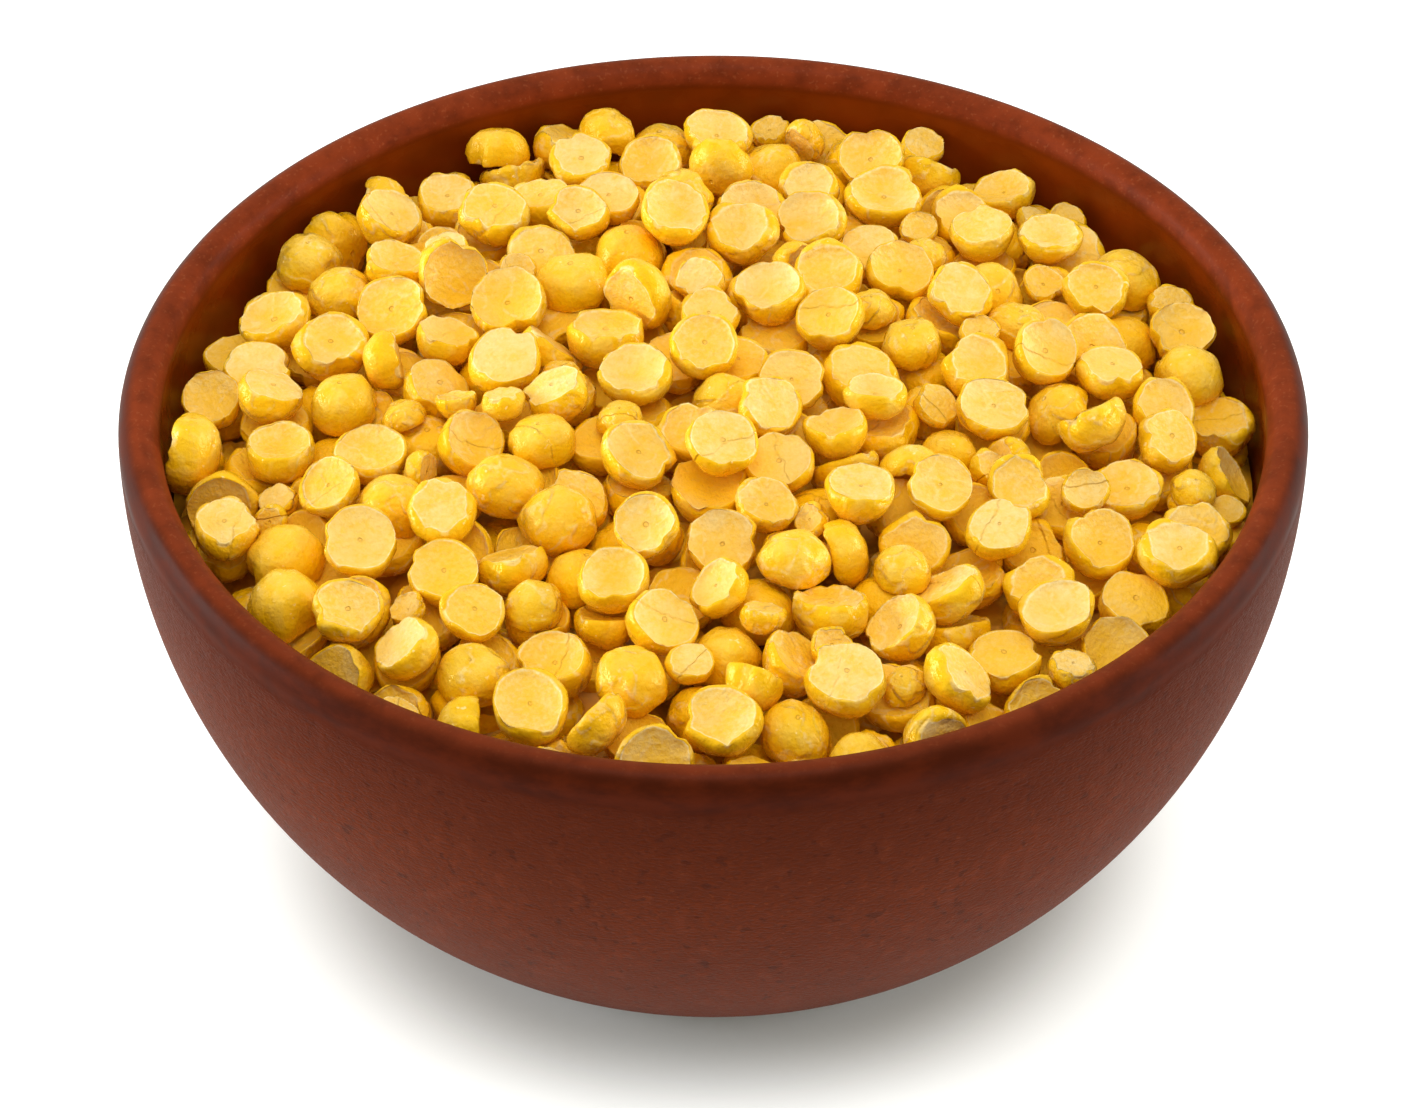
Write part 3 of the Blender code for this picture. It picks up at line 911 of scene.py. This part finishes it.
# The pale skin tone is partly pale patches of the skin and partly painted light on the tops of the
# round sides; the speck tone is partly painted highlights
PALE_AND_LIT_SKIN, SCUFF_TONE, SPECK_AND_GLINT_TONE = (0.83, 0.585, 0.13), (0.86, 0.61, 0.12), (0.98, 0.82, 0.42)
CHIP_TONE, DIMPLE_TONE, FOLD_TONE = (0.92, 0.71, 0.30), (0.80, 0.40, 0.05), (0.93, 0.50, 0.04)
PULSE_RELIEF = 0.11 * MM
APART = (37.0, 51.0, 23.0)  # keeps the patterns of two halves apart


def pulse_finish(heap):
    """Split chickpea: pale dry face, rubbed light edge, waxy golden side."""
    made = Finish("split_chickpea")
    flesh_colour, skin_colour = tuple(heap.flesh_colour), tuple(heap.skin_colour)
    edge_colour = tuple(heap.edge_colour)
    flesh, rubbed, chip = made.channels(made.attribute("parts", "Color"))[:3]
    tint = made.attribute("tint")
    spot = made.attribute("spot", "Vector")
    u, v, w = made.axes(spot)

    def lot(number):
        """A draw between 0 and 1 that each half keeps."""
        return made.math("FRACT", made.times(tint, number))

    # The half's own coordinates, moved by its draw, so that no two halves share a pattern
    apart = made.node("ShaderNodeVectorMath", operation="SCALE")
    apart.inputs[0].default_value = APART
    made.link(tint, apart.inputs["Scale"])
    moved = made.node("ShaderNodeVectorMath", operation="ADD")
    made.put(moved, ((0, spot), (1, apart.outputs[0])))
    own = moved.outputs[0]
    blotch = made.noise(1.7, 3, 0.6, vector=own, warp=0.4)
    mottle = made.noise(5.0, 3, 0.6, vector=own)
    bend = made.minus(made.noise(1.1, 1, 0.4, vector=own, warp=0.3), 0.5)
    has_crease = made.ramp(lot(23.7), 0.35, 0.40)
    crease = made.times(made.ramp(made.math("ABSOLUTE", bend), 0.045, 0.006), has_crease)
    flap = made.times(made.ramp(bend, -0.08, 0.08), has_crease)

    cloud = made.noise(430, 3, 0.55)
    grain = made.noise(2300, 2, 0.6, offset=1.0)
    patch = made.noise(760, 2, 0.5, offset=4.0, warp=0.5)

    # Pale face: cloudy, with golden patches and a dimple or a crease on some
    drawn = made.times(made.minus(lot(31.3), 0.5), 0.30)
    gold = made.ramp(made.plus(blotch, drawn), 0.34, 0.68, 0.20, 1.0)
    face = made.mix(gold, GOLDEN_FACE, flesh_colour)
    face = made.mix(made.ramp(grain, 0.38, 0.70, 0.0, 0.35), face, shade(edge_colour, 0.98))
    face = made.mix(made.ramp(mottle, 0.54, 0.70, 0.0, 0.35), face, skin_colour)
    face = made.mix(made.times(made.ramp(lot(3.7), 0.55, 1.0), 0.35), face, skin_colour)
    uneven = made.times(made.minus(patch, 0.5), 0.16)
    dimple = made.ramp(made.plus(made.distance(u, v), uneven), 0.085, 0.035)
    dimple = made.times(dimple, made.ramp(lot(7.3), 0.45, 0.50))
    turn = made.times(tint, 43.0)
    across, along = made.math("COSINE", turn), made.math("SINE", turn)
    line = made.plus(made.times(u, across), made.times(v, along))
    line = made.plus(line, made.minus(made.times(lot(11.9), 0.9), 0.45))
    line = made.plus(line, made.times(made.minus(cloud, 0.5), 0.5))
    has_fold = made.ramp(lot(17.1), 0.80, 0.84)
    fold = made.times(made.ramp(made.math("ABSOLUTE", line), 0.055, 0.012), has_fold)
    step = made.times(made.ramp(line, -0.05, 0.05), has_fold)

    # Golden side: mottled, paler towards the top of the round side as painted light, scuffed pale
    # under the edge, fine light specks that also serve as painted highlights
    skin = made.mix(made.ramp(cloud, 0.36, 0.66), shade(skin_colour, 0.96), GOLDEN_SKIN)
    # Painted light: pale patches grow towards the pole of the round side, on top when a half lies
    # round side up; blotches and mottle break them up
    pale = made.ramp(w, -0.15, -0.80, 0.08, 0.65)
    pale = made.times(pale, made.ramp(blotch, 0.38, 0.60, 0.25, 1.0))
    pale = made.times(pale, made.ramp(mottle, 0.34, 0.56, 0.45, 1.0))
    skin = made.mix(pale, skin, PALE_AND_LIT_SKIN)
    scuff = made.ramp(made.noise(560, 1.5, 0.5, offset=6.0, warp=0.2), 0.52, 0.66)
    scuff = made.times(scuff, made.ramp(w, -0.75, -0.1, 0.25, 0.50))
    skin = made.mix(scuff, skin, SCUFF_TONE)
    # Fine light specks, which also serve as painted highlights on the skin
    specks_and_glints = made.ramp(made.noise(1500, 1, 0.5, offset=8.0), 0.70, 0.74)
    specks_and_glints = made.times(specks_and_glints, made.ramp(patch, 0.46, 0.56, 0.0, 0.75))
    skin = made.mix(specks_and_glints, skin, SPECK_AND_GLINT_TONE)
    skin = made.mix(made.ramp(lot(5.3), 0.0, 0.4, 0.35, 0.0), skin, RIPE_SKIN)

    # Painted shade: deeper, more saturated gold low in the heap, where the rubbed edge and chips
    # are damped too; then the rubbed edge, chips, dimple, fold and crease
    deep = made.attribute("deep")
    face = made.mix(made.times(deep, 0.88), face, SHADE_GOLD_FACE)
    skin = made.mix(made.times(deep, 0.92), skin, SHADE_GOLD_SKIN)
    colour = made.mix(made.ramp(flesh, 0.35, 0.75), skin, face)
    crumbly = made.ramp(grain, 0.30, 0.60, 0.35, 1.0)
    light = made.times(made.ramp(rubbed, 0.40, 0.95), crumbly)
    light = made.times(light, made.ramp(mottle, 0.36, 0.56, 0.35, 1.0))
    # Painted shade: pale edges and chips fade low in the heap
    high = made.ramp(deep, 0.1, 0.9, 1.0, 0.25)
    light = made.times(light, high)
    chip = made.times(chip, high)
    creased = made.times(crease, made.ramp(mottle, 0.40, 0.60, 0.0, 0.35))
    for share, tone in ((made.times(light, 0.90), edge_colour),
                        (made.times(made.ramp(chip, 0.30, 0.75), 0.75), CHIP_TONE),
                        (made.times(dimple, 0.45), DIMPLE_TONE),
                        (made.times(fold, 0.25), FOLD_TONE),
                        (creased, edge_colour)):
        colour = made.mix(share, colour, tone)
    made.set("Base Color", colour)
    waxy = made.ramp(mottle, 0.36, 0.62, 0.10, 0.30)
    made.set("Roughness", made.plus(waxy, made.ramp(flesh, 0.3, 0.9, 0.0, 0.18)))
    made.set("Specular IOR Level", 0.46)
    made.set("Specular Tint", (1.0, 0.80, 0.22, 1.0))
    height = made.times(grain, made.ramp(flesh, 0.2, 0.9, 0.30, 0.75))
    flap_rise = made.ramp(flesh, 0.3, 0.9, 2.0, 0.8)
    for part, rise in ((cloud, 2.2), (patch, 0.8), (dimple, -1.3), (step, 1.6), (mottle, 1.6),
                       (flap, flap_rise)):
        height = made.plus(height, made.times(part, rise))
    made.set("Normal", made.relief(height, PULSE_RELIEF))
    return made.material


def core_finish(heap):
    """Packed pulses deep between the halves, coloured as painted shade: dark gold, darkest at the
    borders between lumps.
    """
    made = Finish("packed_pulses")
    deep = tuple(heap.core_shade_colour)
    lumps = made.spots(190)
    grain = made.noise(900, 3, 0.6)
    # Painted shade: darkest at the borders between the lumps
    tone = made.mix(made.ramp(lumps, 0.1, 0.75), shade(deep, 1.25), shade(deep, 0.45))
    tone = made.mix(made.ramp(grain, 0.4, 0.7, 0.0, 0.4), tone, shade(deep, 1.5))
    made.set("Base Color", tone)
    made.set("Roughness", made.ramp(grain, 0.3, 0.7, 0.45, 0.6))
    made.set("Normal", made.relief(lumps, 1.2 * MM))
    return made.material


def floor_finish(stage):
    """Plain pale paper with the faintest grain, that glows as painted light away from the bowl; the
    glow is left out under the bowl, which paints the soft shadow round its foot.
    """
    made = Finish("pale_floor")
    colour = tuple(stage.floor_colour)
    grain = made.noise(900, 2, 0.5)
    made.set("Base Color", made.mix(made.ramp(grain, 0.3, 0.7), shade(colour, 0.99), colour))
    made.set("Roughness", made.ramp(grain, 0.3, 0.7, 0.80, 0.90))
    made.set("Specular IOR Level", 0.2)
    x, y = made.axes(made.place)[:2]
    # Painted light: emission that rises from nothing under the bowl to the full glow farther out,
    # painting the soft shadow round the foot
    made.set("Emission Color", (1.0, 1.0, 1.0, 1.0))
    away = made.distance(x, y)
    made.set("Emission Strength", made.ramp(away, 33 * MM, 49 * MM, 0.0, stage.painted_floor_light))
    return made.material


# Operators

LIP_GRADE = (-2.6 * MM, 0.2 * MM)  # heights from the shoulder over which wall turns to lip
HOLLOW_GRADE = (1.2 * MM, -0.6 * MM)  # the same from lip to hollow
CROWN_GRADE = (1.50 * MM, 0.10 * MM)  # distances from the middle of the lip


class PULSES_OT_bowl(bpy.types.Operator):
    """Build the clay bowl"""

    bl_idname = "pulses.bowl"
    bl_label = "Clay Bowl"

    def execute(self, context):
        bowl = context.scene.pulses_bowl
        piece = turn_profile("clay_bowl", bowl_profile(bowl), 256)
        mesh = piece.data
        points = mesh_points(mesh)
        rho = np.hypot(points[:, 0], points[:, 1])
        angle = np.arctan2(points[:, 1], points[:, 0])
        z = points[:, 2]
        shoulder, uneven = exact(bowl.shoulder_height), exact(bowl.unevenness)
        wave = 0.55 * np.cos(2 * angle + 0.7) + 0.3 * np.cos(3 * angle + 2.1)
        wave += 0.15 * np.cos(7 * angle + z * 120)
        grow = -uneven * smooth_step(0.0, shoulder, z) * (0.5 + 0.5 * wave)
        points[:, :2] *= (1 + grow * (rho > 20 * MM) / np.maximum(rho, 1e-9))[:, None]
        crest = smooth_step(shoulder - 2 * MM, exact(bowl.crest_height), z)
        points[:, 2] -= crest * 0.5 * uneven * (0.5 + 0.5 * np.cos(3 * angle + 1.0))
        put_points(mesh, points)
        middle_r = exact(bowl.shoulder_radius) - exact(bowl.lip_width) / 2
        hollow = rho < hollow_radius(bowl, np.minimum(z, shoulder), -0.4 * MM)
        within = hollow & (z > exact(bowl.floor_height) - 0.5 * MM)
        store(mesh, "lip", smooth_step(*LIP_GRADE, z - shoulder))
        inside = smooth_step(*HOLLOW_GRADE, z - shoulder)
        store(mesh, "inside", np.where(within, inside, 0.0))
        crown = smooth_step(*CROWN_GRADE, rho - middle_r)
        crown = np.where(z > shoulder, crown, 0.0) * smooth_step(shoulder, shoulder + MM, z)
        store(mesh, "crown", crown)
        mesh.materials.clear()
        mesh.materials.append(clay_finish(bowl))
        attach(piece, "root")
        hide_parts("bowl")
        return {"FINISHED"}


class PULSES_OT_core(bpy.types.Operator):
    """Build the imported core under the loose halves"""

    bl_idname = "pulses.core"
    bl_label = "Core of the Heap"

    def execute(self, context):
        bowl, heap = context.scene.pulses_bowl, context.scene.pulses_heap
        inner_r = exact(bowl.shoulder_radius) - exact(bowl.lip_width)
        shoulder, gap, sink = exact(bowl.shoulder_height), exact(heap.gap), exact(heap.core_sink)
        top, edge = exact(heap.mound_top), exact(heap.mound_edge)
        edge_r = float(hollow_radius(bowl, edge - sink, gap))
        points = []
        for r in np.linspace(0, edge_r, 24):
            points.append((float(r), top - (top - edge) * (r / inner_r) ** 2 - sink))
        depth = shoulder - exact(bowl.floor_height) - gap
        power = round(bowl.hollow_power, 3)
        start = math.asin(((shoulder - points[-1][1]) / depth) ** (power / 2))
        for angle in np.linspace(start, math.radians(HOLLOW_END), 20)[1:]:
            r = (inner_r - gap) * math.cos(angle) ** (2 / power)
            points.append((r, shoulder - depth * math.sin(angle) ** (2 / power)))
        points.append((0.0, exact(bowl.floor_height) + gap))
        piece = turn_profile("heap_core", points, 96)
        piece.data.materials.clear()
        piece.data.materials.append(core_finish(heap))
        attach(piece, "root")
        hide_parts("dal")
        return {"FINISHED"}


class PULSES_OT_halves(bpy.types.Operator):
    """Settle the split chickpeas on the core"""

    bl_idname = "pulses.halves"
    bl_label = "Split Chickpeas"

    def execute(self, context):
        bowl, heap = context.scene.pulses_bowl, context.scene.pulses_heap
        grains, areas, mean_surface = settle_grains(bowl, heap)
        nudge_halves(grains, bowl, heap)
        shapes = bpy.data.collections.new("half_shapes")
        for shape in range(SHAPE_COUNT):
            mesh = half_mesh(shape)
            shapes.objects.link(bpy.data.objects.new(mesh.name, mesh))
        tree = scatter_tree()
        finish = pulse_finish(heap)
        crumb_start = len(grains) - heap.crumbs
        groups = {"halves_face_up_a": [], "halves_face_up_b": [], "halves_turned": [],
                  "fragments": []}
        for number, grain in enumerate(grains):
            if areas[number] <= 0 and grain["score"] < HIDDEN_DEPTH:
                continue
            if number >= crumb_start:
                name = "fragments"
            elif grain["kind"] > 0:
                name = "halves_turned"
            else:
                name = "halves_face_up_a" if grain["shape"] % 2 else "halves_face_up_b"
            groups[name].append(grain)
        for name, members in groups.items():
            piece = set_halves(name, members, tree, shapes, finish, bowl, mean_surface)
            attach(piece, "root")
            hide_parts("dal")
        for model in list(shapes.objects):
            mesh = model.data
            bpy.data.objects.remove(model)
            bpy.data.meshes.remove(mesh)
        bpy.data.collections.remove(shapes)
        bpy.data.node_groups.remove(tree)
        return {"FINISHED"}


FLOOR_REACH = 3.0
LIGHT_AIM = Vector((0, 0, 0.03))
RIGHT_SHARE = 0.66  # power of the right box against the left one
SENSOR_WIDTH = 36.0  # millimetres


def soft_box(name, place, width, height, power):
    """A soft box that looks at the heap."""
    light = bpy.data.lights.new(name, "AREA")
    light.shape = "RECTANGLE"
    light.size = width
    light.size_y = height
    light.energy = power
    body = new_object(name, light)
    body.location = place
    body.rotation_euler = (LIGHT_AIM - Vector(place)).to_track_quat("-Z", "Y").to_euler()


class PULSES_OT_stage(bpy.types.Operator):
    """Build the floor, the light and the camera"""

    bl_idname = "pulses.stage"
    bl_label = "Stage"

    def execute(self, context):
        stage = context.scene.pulses_stage
        mesh = bpy.data.meshes.new("floor")
        corners = np.array([(-1, -1, 0), (1, -1, 0), (1, 1, 0), (-1, 1, 0)]) * FLOOR_REACH
        mesh.from_pydata(corners.tolist(), [], [(0, 1, 2, 3)])
        mesh.materials.append(floor_finish(stage))
        floor = new_object("floor", mesh)

        soft_box("left_box", (-0.80, 0.10, 0.14), 0.5, 0.4, stage.side_power)
        soft_box("right_box", (0.82, 0.12, 0.14), 0.5, 0.4, stage.side_power * RIGHT_SHARE)
        soft_box("back_box", (0.0, 0.42, 0.80), 0.7, 0.7, stage.back_power)
        soft_box("front_box", (0.0, -0.25, 0.92), 0.5, 0.4, stage.front_power)
        soft_box("over_box", (0.0, -0.06, 0.95), 0.5, 0.5, stage.over_power)

        world = bpy.data.worlds.new("surroundings")
        world.use_nodes = True
        back = world.node_tree.nodes["Background"]
        back.inputs[0].default_value = (*stage.world_colour, 1)
        back.inputs[1].default_value = stage.world_level
        context.scene.world = world

        lens = bpy.data.cameras.new("camera")
        lens.sensor_width = SENSOR_WIDTH
        lens.lens = stage.focal_pixels / FRAME_W * SENSOR_WIDTH
        lens.clip_start = 0.01
        camera = new_object("camera", lens)
        back_way = Vector((0, -math.cos(stage.pitch), math.sin(stage.pitch)))
        camera.location = Vector(stage.target) + back_way * stage.distance
        camera.rotation_euler = (-back_way).to_track_quat("-Z", "Y").to_euler()
        context.scene.camera = camera
        context.scene.view_settings.view_transform = "Standard"
        context.scene.view_settings.look = "None"
        return {"FINISHED"}


class PULSES_PT_panel(bpy.types.Panel):
    """Sizes, colours and the steps that build the bowl of split chickpeas"""

    bl_idname = "PULSES_PT_panel"
    bl_label = "Bowl of Split Chickpeas"
    bl_space_type = "VIEW_3D"
    bl_region_type = "UI"
    bl_category = "Pulses"

    def draw(self, context):
        layout = self.layout
        scene = context.scene
        for title, settings in (("Bowl", scene.pulses_bowl), ("Heap", scene.pulses_heap),
                                ("Stage", scene.pulses_stage)):
            box = layout.box()
            box.label(text=title)
            for name in settings.bl_rna.properties.keys():
                if name not in ("rna_type", "name"):
                    box.prop(settings, name)
        for operator in OPERATORS:
            layout.operator(operator.bl_idname)


OPERATORS = (PULSES_OT_bowl, PULSES_OT_core, PULSES_OT_halves, PULSES_OT_stage)
CLASSES = (BowlSettings, HeapSettings, StageSettings, *OPERATORS, PULSES_PT_panel)


def register():
    for item in CLASSES:
        bpy.utils.register_class(item)
    bpy.types.Scene.pulses_bowl = PointerProperty(type=BowlSettings)
    bpy.types.Scene.pulses_heap = PointerProperty(type=HeapSettings)
    bpy.types.Scene.pulses_stage = PointerProperty(type=StageSettings)


def unregister():
    del bpy.types.Scene.pulses_stage
    del bpy.types.Scene.pulses_heap
    del bpy.types.Scene.pulses_bowl
    for item in reversed(CLASSES):
        bpy.utils.unregister_class(item)


def main():
    register()
    bpy.ops.pulses.bowl()
    bpy.ops.pulses.core()
    bpy.ops.pulses.halves()
    bpy.ops.pulses.stage()


if __name__ == "__main__":
    main()
